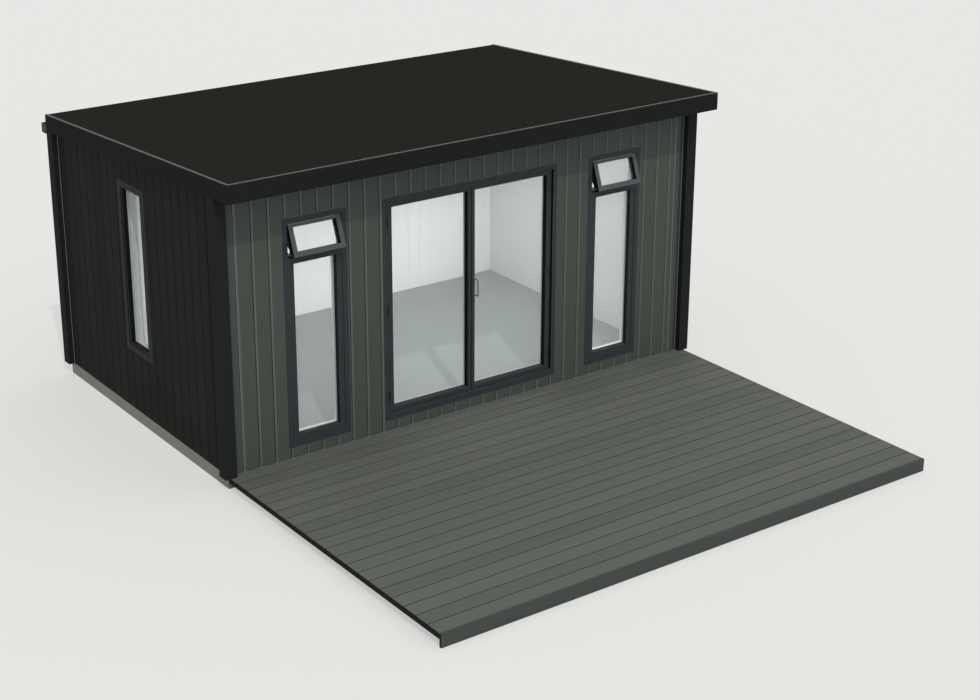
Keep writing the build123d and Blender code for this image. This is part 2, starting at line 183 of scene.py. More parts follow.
class Finish:
    """Node tree of one material, with short calls for the few nodes that the finishes share."""

    def __init__(self, name):
        self.material = bpy.data.materials.new(name)
        self.material.use_nodes = True
        self.tree = self.material.node_tree
        self.shader = self.tree.nodes["Principled BSDF"]
        self.place = self.add("ShaderNodeTexCoord").outputs["Object"]

    def add(self, kind, **settings):
        node = self.tree.nodes.new(kind)
        for key, value in settings.items():
            setattr(node, key, value)
        return node

    def link(self, source, target):
        self.tree.links.new(source, target)

    def math(self, operation, *values):
        """Result of one sum on numbers or on what other nodes give."""
        node = self.add("ShaderNodeMath", operation=operation)
        for socket, value in zip(node.inputs, values):
            if isinstance(value, (int, float)):
                socket.default_value = value
            else:
                self.link(value, socket)
        return node.outputs[0]

    def part(self, vector, which):
        """The part of a vector along X, Y or Z."""
        node = self.add("ShaderNodeSeparateXYZ")
        self.link(vector, node.inputs[0])
        return node.outputs["XYZ".index(which)]

    def axis(self, which):
        """One coordinate of the object's own space, in metres."""
        return self.part(self.place, which)

    def normal(self, which):
        """How far the surface points along an axis of its own object, from -1 to 1."""
        return self.part(self.add("ShaderNodeTexCoord").outputs["Normal"], which)

    def facing(self, which, limit=0.7):
        """1 where the surface points along an axis of its own object, either way, else 0."""
        return self.math("GREATER_THAN", self.math("ABSOLUTE", self.normal(which)), limit)

    def noise(self, scale, stretch=(1, 1, 1), detail=4.0):
        """Noise from 0 to 1, denser along an axis where the stretch is larger."""
        mapping = self.add("ShaderNodeMapping")
        mapping.inputs["Scale"].default_value = stretch
        self.link(self.place, mapping.inputs["Vector"])
        noise = self.add("ShaderNodeTexNoise")
        noise.inputs["Scale"].default_value = scale
        noise.inputs["Detail"].default_value = detail
        self.link(mapping.outputs[0], noise.inputs["Vector"])
        return noise.outputs["Fac"]

    def tone(self, number):
        """Random value from 0 to 1 for each whole number, such as the number of a board."""
        node = self.add("ShaderNodeTexWhiteNoise", noise_dimensions="1D")
        self.link(number, node.inputs["W"])
        return node.outputs["Value"]

    def between(self, low, high, factor):
        """Colour that runs from low to high with a factor."""
        mix = self.add("ShaderNodeMix", data_type="RGBA")
        for socket, value in ((mix.inputs[6], low), (mix.inputs[7], high)):
            if isinstance(value, tuple):
                socket.default_value = (*value, 1)
            else:
                self.link(value, socket)
        if isinstance(factor, (int, float)):
            mix.inputs[0].default_value = factor
        else:
            self.link(factor, mix.inputs[0])
        return mix.outputs[2]

    def span(self, value, low, high):
        """1 where a value lies between two limits, else 0."""
        above = self.math("GREATER_THAN", value, low)
        below = self.math("LESS_THAN", value, high)
        return self.math("MULTIPLY", above, below)

    def colour(self, value):
        if isinstance(value, tuple):
            self.shader.inputs["Base Color"].default_value = (*value, 1)
        else:
            self.link(value, self.shader.inputs["Base Color"])

    def bump(self, height, depth):
        """Bump whose full height is a depth in metres."""
        node = self.add("ShaderNodeBump")
        node.inputs["Distance"].default_value = depth
        node.inputs["Strength"].default_value = 1.0
        self.link(height, node.inputs["Height"])
        self.link(node.outputs[0], self.shader.inputs["Normal"])

    def gloss(self, roughness, metallic=0.0, shine=0.12):
        self.shader.inputs["Roughness"].default_value = roughness
        self.shader.inputs["Metallic"].default_value = metallic
        self.shader.inputs["Specular IOR Level"].default_value = shine


def shade(colour, factor):
    """Colour made lighter or darker by one factor."""
    return tuple(channel * factor for channel in colour)


MOTTLE = 0.08
CLOUD_SCALE = 9.0
PEEL_SCALE = 420.0
PEEL_DEPTH = 0.08 * MM


def sprayed(finish, colour):
    """Colour of a sprayed coat, slightly mottled, over the faint bump of orange peel."""
    finish.bump(finish.noise(PEEL_SCALE, detail=2.0), PEEL_DEPTH)
    cloud = finish.noise(CLOUD_SCALE, detail=3.0)
    return finish.between(shade(colour, 1 - MOTTLE), shade(colour, 1 + MOTTLE), cloud)


def plain_paint(name, colour, roughness, metallic=0.0, shine=0.15):
    """Sprayed paint or coating of one colour."""
    finish = Finish(name)
    finish.colour(sprayed(finish, colour))
    finish.gloss(roughness, metallic, shine)
    return finish.material


def clad(node_name, material):
    """Gives a solid one material."""
    slots = nodes[node_name].data.materials
    if not len(slots):
        slots.append(material)
    for index in range(len(slots)):
        slots[index] = material


print("helpers ready")

# %% [markdown]
# A side of the building is a flat face with its own right and up. Each wall could be drawn in the
# world's x and y, with four versions of the code. Writing every skin in the face's own coordinates,
# across u, up z and out of the wall w, lets one function dress all four sides.

# %% Sides of the building
UP = np.array([0.0, 0.0, 1.0])


class Side:
    """One face: which way is right when looking at it from outside, and which way is out."""

    def __init__(self, right, out):
        self.right = np.array(right, float)
        self.out = np.array(out, float)

    def points(self, u, w, z):
        """World points for arrays u across, w outwards from the building's centre, and z up."""
        u, w, z = np.broadcast_arrays(u, w, z)
        return u[..., None] * self.right + w[..., None] * self.out + z[..., None] * UP


FRONT = Side((1, 0, 0), (0, -1, 0))
LEFT = Side((0, -1, 0), (-1, 0, 0))
BACK = Side((-1, 0, 0), (0, 1, 0))
RIGHT = Side((0, 1, 0), (1, 0, 0))


def put_mesh(name, vertices, faces, body, material):
    """Object from an array of points and a list of faces and riding on a body."""
    mesh = bpy.data.meshes.new(name)
    mesh.from_pydata(np.asarray(vertices).reshape(-1, 3).tolist(), [], [list(map(int, f)) for f in faces])
    mesh.validate()
    piece = bpy.data.objects.new(name, mesh)
    bpy.context.scene.collection.objects.link(piece)
    piece.data.materials.append(material)
    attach(piece, body)
    return piece


def grid_faces(rows, columns, around=False, along=False):
    """Four-sided faces of a grid of points; around closes the columns, along closes the rows."""
    down, across = (rows if along else rows - 1), (columns if around else columns - 1)
    i, j = np.meshgrid(np.arange(down), np.arange(across), indexing="ij")
    i2, j2 = (i + 1) % rows, (j + 1) % columns
    corners = [i * columns + j, i2 * columns + j, i2 * columns + j2, i * columns + j2]
    return np.stack(corners, axis=-1).reshape(-1, 4)


def extent(node, side):
    """How far a solid reaches across a side, as two numbers in order."""
    return np.sort([lowest(node) @ side.right, highest(node) @ side.right])


def prism(name, outlines, material):
    """Bar between two outlines of equal length, an array of (2, count, 3), with both ends closed."""
    count = outlines.shape[1]
    faces = [*map(tuple, grid_faces(2, count, around=True)), tuple(range(count)),
             tuple(range(2 * count - 1, count - 1, -1))]
    return put_mesh(name, outlines, faces, "building", material)


print("sides: front, left, back, right")

# %% [markdown]
# Cladding boards are long planks with a shadow gap between them: a square edge on one board, and a
# slope on the next that catches the light. The black boards meet in a finer joint than the grey ones.
# They could be boxes in an array, with openings cut out of them. As one surface, they are a depth that
# depends only on the distance across the wall, which has no hidden faces and needs no cutting: the grid
# has a column at each bend of that line and a row at each level where something changes, and the cells
# inside doors and windows are left out.

# %% Cladding surface
HAIR = 0.2 * MM
SHEET_THICKNESS = 5 * MM


class Joint:
    """Shadow gap between boards: its width, its depth, and the width of the slope beside it."""

    def __init__(self, gap, depth, slope):
        self.gap = gap
        self.depth = depth
        self.slope = slope


GREY_JOINT = Joint(14 * MM, 10 * MM, 11 * MM)
BLACK_JOINT = Joint(5 * MM, 4 * MM, 5 * MM)


def board_columns(low, high, grooves, joint):
    """Distances across and their depths: at a groove g, depth falls from 0 to the gap's depth over a
    hair, stays for the gap's width, and rises to 0 along the slope."""
    half = joint.gap / 2
    offsets = np.array([-half - HAIR, -half, half, half + joint.slope])
    depths = np.array([0, joint.depth, joint.depth, 0])
    grooves = grooves[(grooves > low + joint.gap) & (grooves < high - joint.gap - joint.slope)]
    across = np.concatenate([[low], (grooves[:, None] + offsets).ravel(), [high]])
    depth = np.concatenate([[0], np.tile(depths, len(grooves)), [0]])
    return across, depth


def cladding(name, side, face, span, levels, grooves, joint, holes, material):
    """Sheet of boards on one side: points (u, face - depth(u), z), with the holes' cells left out. The
    levels are the bottom and a function that gives the top at each u."""
    across, depth = board_columns(*span, grooves, joint)
    cuts = np.array([edge for hole in holes for edge in hole[:2]])
    extra = cuts[(cuts > span[0]) & (cuts < span[1])]
    depth = np.concatenate([depth, np.interp(extra, across, depth)])
    across = np.concatenate([across, extra])
    order = np.argsort(across, kind="stable")
    across, depth = across[order], depth[order]
    bottom, top = levels
    rows = sorted({bottom, *[edge for hole in holes for edge in hole[2:]]})
    z = np.array([np.full_like(across, row) for row in rows] + [top(across)]).T
    points = side.points(across[:, None], face - depth[:, None], z)
    faces = grid_faces(*z.shape)
    u_mid = np.repeat((across[:-1] + across[1:]) / 2, z.shape[1] - 1)
    z_mid = ((z[:-1, :-1] + z[:-1, 1:]) / 2).ravel()
    keep = np.ones(len(faces), bool)
    for u0, u1, z0, z1 in holes:
        keep &= ~((u_mid > u0) & (u_mid < u1) & (z_mid > z0) & (z_mid < z1))
    piece = put_mesh(name, points, faces[keep], "building", material)
    solid = piece.modifiers.new("board_thickness", "SOLIDIFY")
    solid.thickness = SHEET_THICKNESS
    solid.offset = -1
    print(name, "faces", int(keep.sum()))
    return piece


print("joints: grey", GREY_JOINT.gap, "black", BLACK_JOINT.gap)

# %% [markdown]
# The grey boards of the front are stained timber. Each board takes the stain a little differently,
# so a white noise of the board's number shifts its tone, and a long thin noise runs the grain up it.
# A photograph of timber could be used, but noise has no seams and reads nothing from disk. The slope
# beside each gap is painted a lighter tone as a highlight, and the floor of each gap darker as shade.

# %% Stained boards
GREY_PITCH = 150.6 * MM
FIRST_GROOVE = -2298.8 * MM
BLACK_PITCH = 150 * MM
GREY = (0.076, 0.086, 0.077)
# Colours of the slopes beside the gaps: lighter than the boards, as painted highlights.
GREY_SLOPE_HIGHLIGHT = (0.155, 0.168, 0.155)
BLACK = (0.0158, 0.0185, 0.0155)
BLACK_SLOPE_HIGHLIGHT = (0.0165, 0.0190, 0.0160)
GREY_SPREAD = 0.05
BLACK_SPREAD = 0.12
# Factor that darkens the floor of each grey gap, as painted shade.
GREY_GAP_PAINTED_SHADE = 0.5
GRAIN_DEPTH = 0.6 * MM


def stained_boards(name, colour, axis, first, pitch, spread, edge, joint, gap_painted_shade=1.0):
    """Stain on vertical boards whose numbers are counted along an axis from the first groove. The
    spread is how far the boards differ, and the edge is the colour of a painted highlight on the slope
    beside a gap. The floor of a gap is darkened by a factor, as painted shade."""
    finish = Finish(name)
    distance = finish.math("DIVIDE", finish.math("SUBTRACT", finish.axis(axis), first), pitch)
    tone = finish.tone(finish.math("FLOOR", distance))
    grain = finish.noise(26.0, (1, 1, 0.04), 6.0)
    board = finish.between(shade(colour, 1 - spread), shade(colour, 1 + spread), tone)
    grained = finish.between(shade(colour, 0.86), shade(colour, 1.14), grain)
    mixed = finish.between(board, grained, 0.5)
    inside = finish.math("MULTIPLY", finish.math("FRACT", distance), pitch)
    half = joint.gap / 2
    # Painted highlight: the slope beside each gap takes the lighter edge colour.
    slope_highlight = finish.span(inside, half + 0.5 * MM, half + joint.slope + 1 * MM)
    sloped = finish.between(mixed, edge, slope_highlight)
    # Painted shade: the floor of each gap is darkened by the gap's shade factor.
    floor_right = finish.math("LESS_THAN", inside, half)
    floor_left = finish.math("GREATER_THAN", inside, pitch - half)
    gap_floor = finish.math("MAXIMUM", floor_right, floor_left)
    finish.colour(finish.between(sloped, shade(colour, gap_painted_shade), gap_floor))
    finish.bump(grain, GRAIN_DEPTH)
    finish.gloss(0.7, shine=0.04)
    return finish.material


grey_boards = stained_boards(
    "grey_boards", GREY, "X", FIRST_GROOVE, GREY_PITCH, GREY_SPREAD, GREY_SLOPE_HIGHLIGHT, GREY_JOINT, GREY_GAP_PAINTED_SHADE)
black_boards = stained_boards(
    "black_boards", BLACK, "Y", 0.0, BLACK_PITCH, BLACK_SPREAD, BLACK_SLOPE_HIGHLIGHT, BLACK_JOINT)
black_boards_back = stained_boards(
    "black_boards_back", BLACK, "X", 0.0, BLACK_PITCH, BLACK_SPREAD, BLACK_SLOPE_HIGHLIGHT, BLACK_JOINT)
print("stains:", grey_boards.name, black_boards.name)

# %% [markdown]
# Each sheet of boards runs from post to post, and from just over the foot of the wall to just under the
# roof, which falls to the back. Their places could be typed in, but taken from the solids they stay
# true when a size changes. The skin is how far the boards' face lies inside the posts' faces.

# %% Boards on the four sides
skin = 53 * MM
wall_foot = ground_to_deck + 2 * MM
roof_under = highest("wall_front_over_door")[2]
fall = (highest("wall_front_over_door")[2] - highest("wall_back")[2]) / (
    lowest("wall_back")[1] - lowest("wall_front_over_door")[1])
post = 110 * MM
seam = 1 * MM
half_door = 918 * MM
last_groove = 2348 * MM
front_gaps = 31


def roof_level(y):
    """Height of the underside of the roof above a distance y from the front to the back."""
    return roof_under - fall * (y - lowest("wall_front_over_door")[1]) - seam


def hole_of(node, side):
    """Hole round a frame, with a seam: its extent across a side, and its height."""
    across = extent(node, side)
    return (across[0] - seam, across[1] + seam, lowest(node)[2] - seam, highest(node)[2] + seam)


def level(height):
    """Top of a sheet of boards that is the same at each u."""
    return lambda u: np.full_like(u, height)


def black_grooves(count):
    """Grooves of the black boards: one in the middle, and a number of them to each side."""
    return np.arange(-count, count + 1) * BLACK_PITCH


front_holes = [hole_of(f"window_{which}_frame", FRONT) for which in ("left", "right")]
door_hole = (-half_door - seam, half_door + seam, *hole_of("door_frame", FRONT)[2:])
front_holes.insert(1, door_hole)
side_hole = hole_of("window_side_frame", LEFT)
front_grooves = np.append(FIRST_GROOVE + GREY_PITCH * np.arange(front_gaps), last_groove)
inset = half_width - post
side_span = (-(back - post), -(front + post))
front_face, side_face, back_face = -front - skin, half_width - skin, back - skin
cladding("front_boards", FRONT, front_face, (-inset, inset), (wall_foot, level(roof_level(-front_face))),
         front_grooves, GREY_JOINT, front_holes, grey_boards)
cladding("left_boards", LEFT, side_face, side_span, (wall_foot, lambda u: roof_level(-u)),
         black_grooves(10), BLACK_JOINT, [side_hole], black_boards)
cladding("right_boards", RIGHT, side_face, (front + post, back - post), (wall_foot, roof_level),
         black_grooves(10), BLACK_JOINT, [], black_boards)
cladding("back_boards", BACK, back_face, (-inset, inset), (wall_foot, level(roof_level(back_face))),
         black_grooves(16), BLACK_JOINT, [], black_boards_back)

# %% [markdown]
# The wall solids carry two finishes: dark behind the boards, and a white lining indoors. Faces could be
# picked and given two materials, but where a point lies decides it just as well, so one material serves
# every wall. Lining boards meet in fine joints, which show as faint upright lines.

# %% Walls, floor and ceiling
LINING = (0.80, 0.81, 0.80)
INDOORS_X = 2.362
INDOORS_Y = (-1.440, 1.36)
LINING_PITCH = 137.5 * MM
JOINT_SHARE = 0.035
SHEATHING = (0.03, 0.03, 0.03)
FLOOR_PLANK = 192 * MM


def wall_finish():
    """White lining indoors, with a joint every lining board, and dark sheathing outdoors."""
    finish = Finish("wall_lining")
    x, y = finish.axis("X"), finish.axis("Y")
    indoors = finish.math(
        "MULTIPLY", finish.span(x, -INDOORS_X, INDOORS_X), finish.span(y, *INDOORS_Y))
    step = finish.math("FRACT", finish.math("DIVIDE", x, LINING_PITCH))
    joint = finish.span(step, 0.0, JOINT_SHARE)
    white = finish.between(shade(LINING, 0.97), LINING, finish.noise(3.0))
    jointed = finish.between(white, shade(LINING, 0.91), joint)
    finish.colour(finish.between(SHEATHING, jointed, indoors))
    finish.bump(joint, -1.5 * MM)
    finish.gloss(0.55)
    return finish.material


def roof_finish():
    """Dark rubber sheet above, with soft dust clouds, and a white ceiling below."""
    finish = Finish("roof_sheet")
    below = finish.math("LESS_THAN", finish.normal("Z"), -0.5)
    dust = finish.noise(1.3, detail=6.0)
    sheet = finish.between((0.0170, 0.0180, 0.0150), (0.0205, 0.0215, 0.0180), dust)
    finish.colour(finish.between(sheet, LINING, below))
    finish.bump(finish.noise(160.0, detail=3.0), 0.4 * MM)
    finish.gloss(0.9, shine=0.0)
    return finish.material


def floor_finish():
    """Pale grey laminate in planks that run across the room, each with its own tone."""
    finish = Finish("laminate")
    tone = finish.tone(finish.math("FLOOR", finish.math("DIVIDE", finish.axis("Y"), FLOOR_PLANK)))
    grain = finish.noise(18.0, (0.08, 1, 1), 5.0)
    board = finish.between((0.275, 0.305, 0.295), (0.295, 0.325, 0.315), tone)
    grained = finish.between((0.26, 0.29, 0.28), (0.31, 0.34, 0.33), grain)
    finish.colour(finish.between(board, grained, 0.4))
    finish.bump(grain, 0.1 * MM)
    finish.gloss(0.45)
    return finish.material


wall_lining = wall_finish()
for name in nodes:
    if name.startswith("wall_"):
        clad(name, wall_lining)
clad("roof_panel", roof_finish())
clad("floor", floor_finish())
print("indoors finished")

# %% [markdown]
# Powder coat on aluminium is smooth and slightly soft in its shine. Frames, sashes, posts and edges
# differ only in tone, so they share one recipe. A frame's faces that point sideways are painted near
# black as shade, found by the way a face points in its own object, also on a leaf that has swung open.
# The concrete base is rougher, with pores, and the glass lets light straight through.

# %% Paints, metals and concrete
# Near black painted as shade on the faces of frames that point sideways.
SIDE_FACE_SHADE = (0.008, 0.009, 0.010)
# Grey indoor coat of the side window: its white paint darkened, as painted shade.
SHADED_INDOOR_COAT = (0.55, 0.56, 0.55)


def glazed_paint(name, colour, lining=SIDE_FACE_SHADE, shaded_axis="X", inward=None, inside=0.0, inner=SHADED_INDOOR_COAT):
    """Powder coat on a frame whose faces that point along one axis are painted near black as shade, in
    the colour given as lining. Where an inward axis is named, the frame past a place on it has the
    coat of its indoor side, given as inner."""
    finish = Finish(name)
    # Painted shade: faces along the shaded axis take the near-black lining colour.
    painted = finish.between(sprayed(finish, colour), lining, finish.facing(shaded_axis))
    if inward:
        indoors = finish.math("GREATER_THAN", finish.axis(inward), inside)
        painted = finish.between(painted, inner, indoors)
    finish.colour(painted)
    finish.gloss(0.45, shine=0.06)
    return finish.material


FRAME = (0.039, 0.048, 0.052)
# A lighter painted shade for the sideways faces of the front windows.
WINDOW_SIDE_SHADE = (0.019, 0.023, 0.025)
WHITE_COAT = (0.88, 0.89, 0.88)
frame_paint = glazed_paint("frame_powder_coat", FRAME)
front_glass_back = float(highest("window_left_glass")[1])
window_paint = glazed_paint(
    "window_powder_coat", FRAME, WINDOW_SIDE_SHADE, inward="Y", inside=front_glass_back, inner=WHITE_COAT)
side_glass_back = float(highest("window_side_glass")[0])
# The side window's frame takes the default grey indoor coat, which is painted shade.
side_frame_paint = glazed_paint(
    "side_frame_coat", (0.012, 0.014, 0.016), shaded_axis="Y", inward="X", inside=side_glass_back)
sash_paint = glazed_paint("sash_powder_coat", (0.086, 0.101, 0.106))
post_paint = plain_paint("post_coat", (0.0195, 0.021, 0.021), 0.6, shine=0.01)
fascia_paint = plain_paint("fascia_coat", (0.0155, 0.0165, 0.0170), 0.6, shine=0.01)
trim_metal = plain_paint("trim_metal", (0.085, 0.086, 0.083), 0.45, shine=0.06)
gutter_coat = plain_paint("gutter_coat", (0.016, 0.0165, 0.0165), 0.38)
steel = plain_paint("brushed_steel", (0.42, 0.42, 0.41), 0.32, metallic=0.9)
handle_metal = plain_paint("handle_metal", (0.25, 0.26, 0.25), 0.4, metallic=0.3)
seal_rubber = plain_paint("seal_rubber", (0.012, 0.012, 0.012), 0.6)


def concrete_finish():
    """Cast concrete: a grey with large clouds and small dark pores."""
    finish = Finish("cast_concrete")
    cloud = finish.noise(2.2, detail=8.0)
    grit = finish.noise(60.0, detail=5.0)
    tone = finish.between((0.255, 0.26, 0.237), (0.315, 0.32, 0.297), cloud)
    finish.colour(finish.between(tone, (0.15, 0.155, 0.14), finish.math("MULTIPLY", grit, 0.35)))
    finish.bump(grit, 1.2 * MM)
    finish.gloss(0.9, shine=0.05)
    return finish.material


def glass_finish(name, faces, haze, presence=0.10):
    """Clear pane: light goes straight through it, and its faces along one axis keep a thin haze and a
    clean reflection. Its edges, which sit in the frame, are wholly clear, and so is all of it to sun
    and lamps, whose light reaches the floor undimmed."""
    finish = Finish(name)
    finish.colour(haze)
    finish.gloss(0.03, shine=0.35)
    shadow = finish.add("ShaderNodeLightPath").outputs["Is Shadow Ray"]
    seen = finish.math("MULTIPLY", finish.facing(faces), finish.math("SUBTRACT", 1.0, shadow))
    finish.link(finish.math("MULTIPLY", seen, presence), finish.shader.inputs["Alpha"])
    return finish.material


HAZE = (0.80, 0.86, 0.85)
SHEET_PRESENCE = 0.055
glass = glass_finish("clear_glass", "Y", HAZE, SHEET_PRESENCE)
side_glass = glass_finish("clear_side_glass", "X", HAZE, SHEET_PRESENCE)
vent_glass = glass_finish("clear_vent_glass", "Y", shade(HAZE, 0.65))
paints = {
    "base_slab": concrete_finish(), "door_frame": frame_paint, "door_handle": handle_metal,
    "roof_trim": trim_metal, "gutter_left": gutter_coat, "gutter_right": gutter_coat,
    "downpipe": gutter_coat}
for name in nodes:
    if "glass" in name:
        paints[name] = vent_glass
    elif name.startswith("post"):
        paints[name] = post_paint
    elif name.startswith(("fascia", "soffit")):
        paints[name] = fascia_paint
    elif "stays" in name:
        paints[name] = steel
    elif "vent" in name:
        paints[name] = sash_paint
    elif name.startswith(("window", "door_leaf")):
        paints[name] = frame_paint
paints["window_side_frame"] = side_frame_paint
paints["window_side_glass"] = side_glass
for name in ("window_left_frame", "window_right_frame"):
    paints[name] = window_paint
for name, material in paints.items():
    clad(name, material)
print("painted:", len(paints))

# %% [markdown]
# Deck boards of wood and plastic are pressed through a die, so they are one profile along their whole
# length: rounded edges and fine ribs on top. An array modifier could repeat one board, but the boards
# stand in for one solid, so they are best as one mesh. The profile is a row of points across the board,
# where the ribs are a cosine, and all the boards are one array with the profile at each pitch.

# %% Deck boards
BOARDS = 20
BOARD_GAP = 6 * MM
RIBS = 12
RIB_HEIGHT = 0.8 * MM
ROUND = 3 * MM
# Dark colour of the board ends, and painted shade on the board sides in the gaps.
DARK_ENDS_AND_GAP_SHADE = (0.014, 0.016, 0.013)
deck_low, deck_high = lowest("deck_boards"), highest("deck_boards")
deck_pitch = (deck_high[1] - deck_low[1] + BOARD_GAP) / BOARDS


def deck_profile(width, thickness):
    """Outline (across, up) of one board: up one side, round the edge, over the ribs and down.
    The ribs' height is h (1 - cos(2 pi n t)) / 2 taken off the top, with t from 0 to 1 across."""
    turn = np.linspace(0, math.pi / 2, 4)
    left = np.stack([ROUND - ROUND * np.cos(turn), thickness - ROUND + ROUND * np.sin(turn)], axis=1)
    t = np.linspace(0, 1, RIBS * 4 + 1)[1:-1]
    fall = RIB_HEIGHT * (1 - np.cos(2 * math.pi * RIBS * t)) / 2
    ribs = np.stack([ROUND + t * (width - 2 * ROUND), thickness - fall], axis=1)
    right = np.stack([width - left[::-1, 0], left[::-1, 1]], axis=1)
    return np.concatenate([[[0, 0]], left, ribs, right, [[width, 0]]])


def deck_finish():
    """Grey composite, each board with its own tone, fine streaks along it, darker ends, and its sides
    in the gaps painted dark as shade.
    """
    finish = Finish("deck_composite")
    behind_front = finish.math("SUBTRACT", finish.axis("Y"), float(deck_low[1]))
    tone = finish.tone(finish.math("FLOOR", finish.math("DIVIDE", behind_front, float(deck_pitch))))
    streak = finish.noise(30.0, (0.05, 1, 1), 6.0)
    board = finish.between((0.097, 0.105, 0.095), (0.130, 0.137, 0.125), tone)
    grained = finish.between((0.092, 0.099, 0.088), (0.134, 0.141, 0.130), streak)
    # The board ends are darker; the board sides that face the gaps are painted dark as shade.
    from_middle = finish.math("ABSOLUTE", finish.axis("X"))
    end = finish.math("GREATER_THAN", from_middle, float(deck_high[0]) - 0.5 * MM)
    edge = finish.math("MAXIMUM", end, finish.facing("Y", 0.9))
    finish.colour(finish.between(finish.between(board, grained, 0.5), DARK_ENDS_AND_GAP_SHADE, edge))
    finish.bump(streak, 0.3 * MM)
    finish.gloss(0.65, shine=0.04)
    return finish.material


deck_board_finish = deck_finish()


def deck_boards():
    """Boards side by side from the front edge to the wall, each a prism of the profile."""
    width = deck_pitch - BOARD_GAP
    outline = deck_profile(width, deck_high[2] - deck_low[2])
    count = len(outline)
    starts = deck_low[1] + np.arange(BOARDS) * deck_pitch
    x = np.array([deck_low[0], deck_high[0]])
    points = np.zeros((BOARDS, 2, count, 3))
    points[..., 0] = x[None, :, None]
    points[..., 1] = starts[:, None, None] + outline[None, None, :, 0]
    points[..., 2] = deck_low[2] + outline[None, None, :, 1]
    one = grid_faces(2, count, around=True)[:, ::-1]
    sides = one[None] + (np.arange(BOARDS) * 2 * count)[:, None, None]
    ends = np.arange(BOARDS * 2 * count).reshape(BOARDS, 2, count)
    ends[:, 0] = ends[:, 0, ::-1].copy()
    faces = [*sides.reshape(-1, 4), *ends.reshape(-1, count)]
    piece = put_mesh("deck_planks", points, faces, "building", deck_board_finish)
    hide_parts("deck_boards")
    print("deck boards:", BOARDS, "of", round(width, 3), "m")
    return piece


def fascia_board_finish():
    """The deck's edge board: the same composite, darker and streaked along its length."""
    finish = Finish("deck_edge_composite")
    streak = finish.noise(24.0, (0.05, 1, 1), 6.0)
    board = finish.between((0.057, 0.064, 0.060), (0.069, 0.077, 0.072), streak)
    finish.colour(finish.between(board, DARK_ENDS_AND_GAP_SHADE, finish.facing("X")))
    finish.bump(streak, 0.4 * MM)
    finish.gloss(0.6, shine=0.05)
    return finish.material


deck_boards()
clad("deck_fascia", fascia_board_finish())
TIMBER = (0.015, 0.016, 0.014)
# The joists take the board stain: its lighter slope colour, a painted highlight, shows as faint bands every
# half metre.
dark_timber = stained_boards("dark_timber", TIMBER, "Y", 0.0, 0.5, 0.1, (0.02, 0.02, 0.02), BLACK_JOINT)
clad("deck_joists", dark_timber)
clad("deck_bearers", dark_timber)

# %% [markdown]
# A seal, a spacer or a flashing runs round an opening with mitred corners. A curve with a bevel could
# draw it, but narrows at the corners. Here it is a small profile carried round a rectangle: each corner
# pushes the profile out along both of its edges at once, which is what makes the mitre.

# %% Loops round openings


def loop_round(name, side, rectangle, profile, face, material, body="building"):
    """Closed band round a rectangle (u0, u1, z0, z1). A profile point (a, b) lies a outside the
    rectangle and b in front of the face; at a corner the point moves by a in both u and z."""
    u0, u1, z0, z1 = rectangle
    signs = np.array([(-1, -1), (1, -1), (1, 1), (-1, 1)])
    corner = np.array([(u0, z0), (u1, z0), (u1, z1), (u0, z1)])
    a, b = np.array(profile).T
    u = corner[:, 0, None] + signs[:, 0, None] * a
    z = corner[:, 1, None] + signs[:, 1, None] * a
    points = side.points(u, face + b[None, :], z)
    faces = grid_faces(4, len(a), around=True, along=True)
    return put_mesh(name, points, faces, body, material)


def half_round(width, height, count=6):
    """Profile of a seal's lip: half an ellipse that stands on the edge and bulges outwards."""
    angle = np.linspace(0, math.pi, count)
    return np.stack([-width * (1 - np.cos(angle)) / 2, height * np.sin(angle)], axis=1)


seal = half_round(4 * MM, 3 * MM)
print("seal profile of", len(seal), "points")

# %% [markdown]
# A pane in a door or a fixed window is a sealed unit: two sheets of glass with ground edges, a metal
# spacer between them, and a rubber seal on the outside. One thick block of glass would look right from
# afar, but its edge would not, so the unit takes the place of the plain pane. The flashing of each
# opening is another loop, a thin folded sheet.

# %% Sealed units and flashings
SHEET = 4 * MM
ARRIS = 0.7 * MM
PLAY = 0.5 * MM
SPACER = 6 * MM
spacer_metal = plain_paint("spacer_metal", (0.45, 0.46, 0.45), 0.4)


def ground_sheet(side, rectangle, face, first):
    """Points and faces of one sheet of glass with ground edges: four rings of corners, drawn in by
    the arris at the front and back, with an end face on each. Faces are numbered from first."""
    insets = np.array([PLAY + ARRIS, PLAY, PLAY, PLAY + ARRIS])
    depths = np.array([0, ARRIS, SHEET - ARRIS, SHEET])
    u0, u1, z0, z1 = rectangle
    u = np.stack([u0 + insets, u1 - insets, u1 - insets, u0 + insets], axis=1)
    z = np.stack([z0 + insets, z0 + insets, z1 - insets, z1 - insets], axis=1)
    points = side.points(u, face - depths[:, None], z)
    rings = grid_faces(4, 4, around=True)[:, ::-1]
    caps = np.array([[0, 1, 2, 3], [15, 14, 13, 12]])
    return points.reshape(-1, 3), np.concatenate([rings, caps]) + first


def double_glazing(node, side, body, material):
    """Sealed unit in place of a pane: two sheets, a metal spacer between them, and a rubber seal."""
    outwards = np.sort([lowest(node) @ side.out, highest(node) @ side.out])
    rectangle = (*extent(node, side), lowest(node)[2], highest(node)[2])
    outer, faces = ground_sheet(side, rectangle, outwards[1], 0)
    inner, more = ground_sheet(side, rectangle, outwards[0] + SHEET, len(outer))
    name = node.replace("glass", "unit")
    points, faces = np.concatenate([outer, inner]), np.concatenate([faces, more])
    unit = put_mesh(name, points, faces, body, material)
    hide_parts(node)
    print("sealed unit:", unit.name)
    depth = outwards[1] - outwards[0] - 2 * SHEET
    edge = [(-PLAY, 0), (-SPACER, 0), (-SPACER, -depth), (-PLAY, -depth)]
    loop_round(f"{name}_spacer", side, rectangle, edge, outwards[1] - SHEET, spacer_metal,
               body)
    loop_round(f"{name}_seal", side, rectangle, seal, outwards[1], seal_rubber, body)


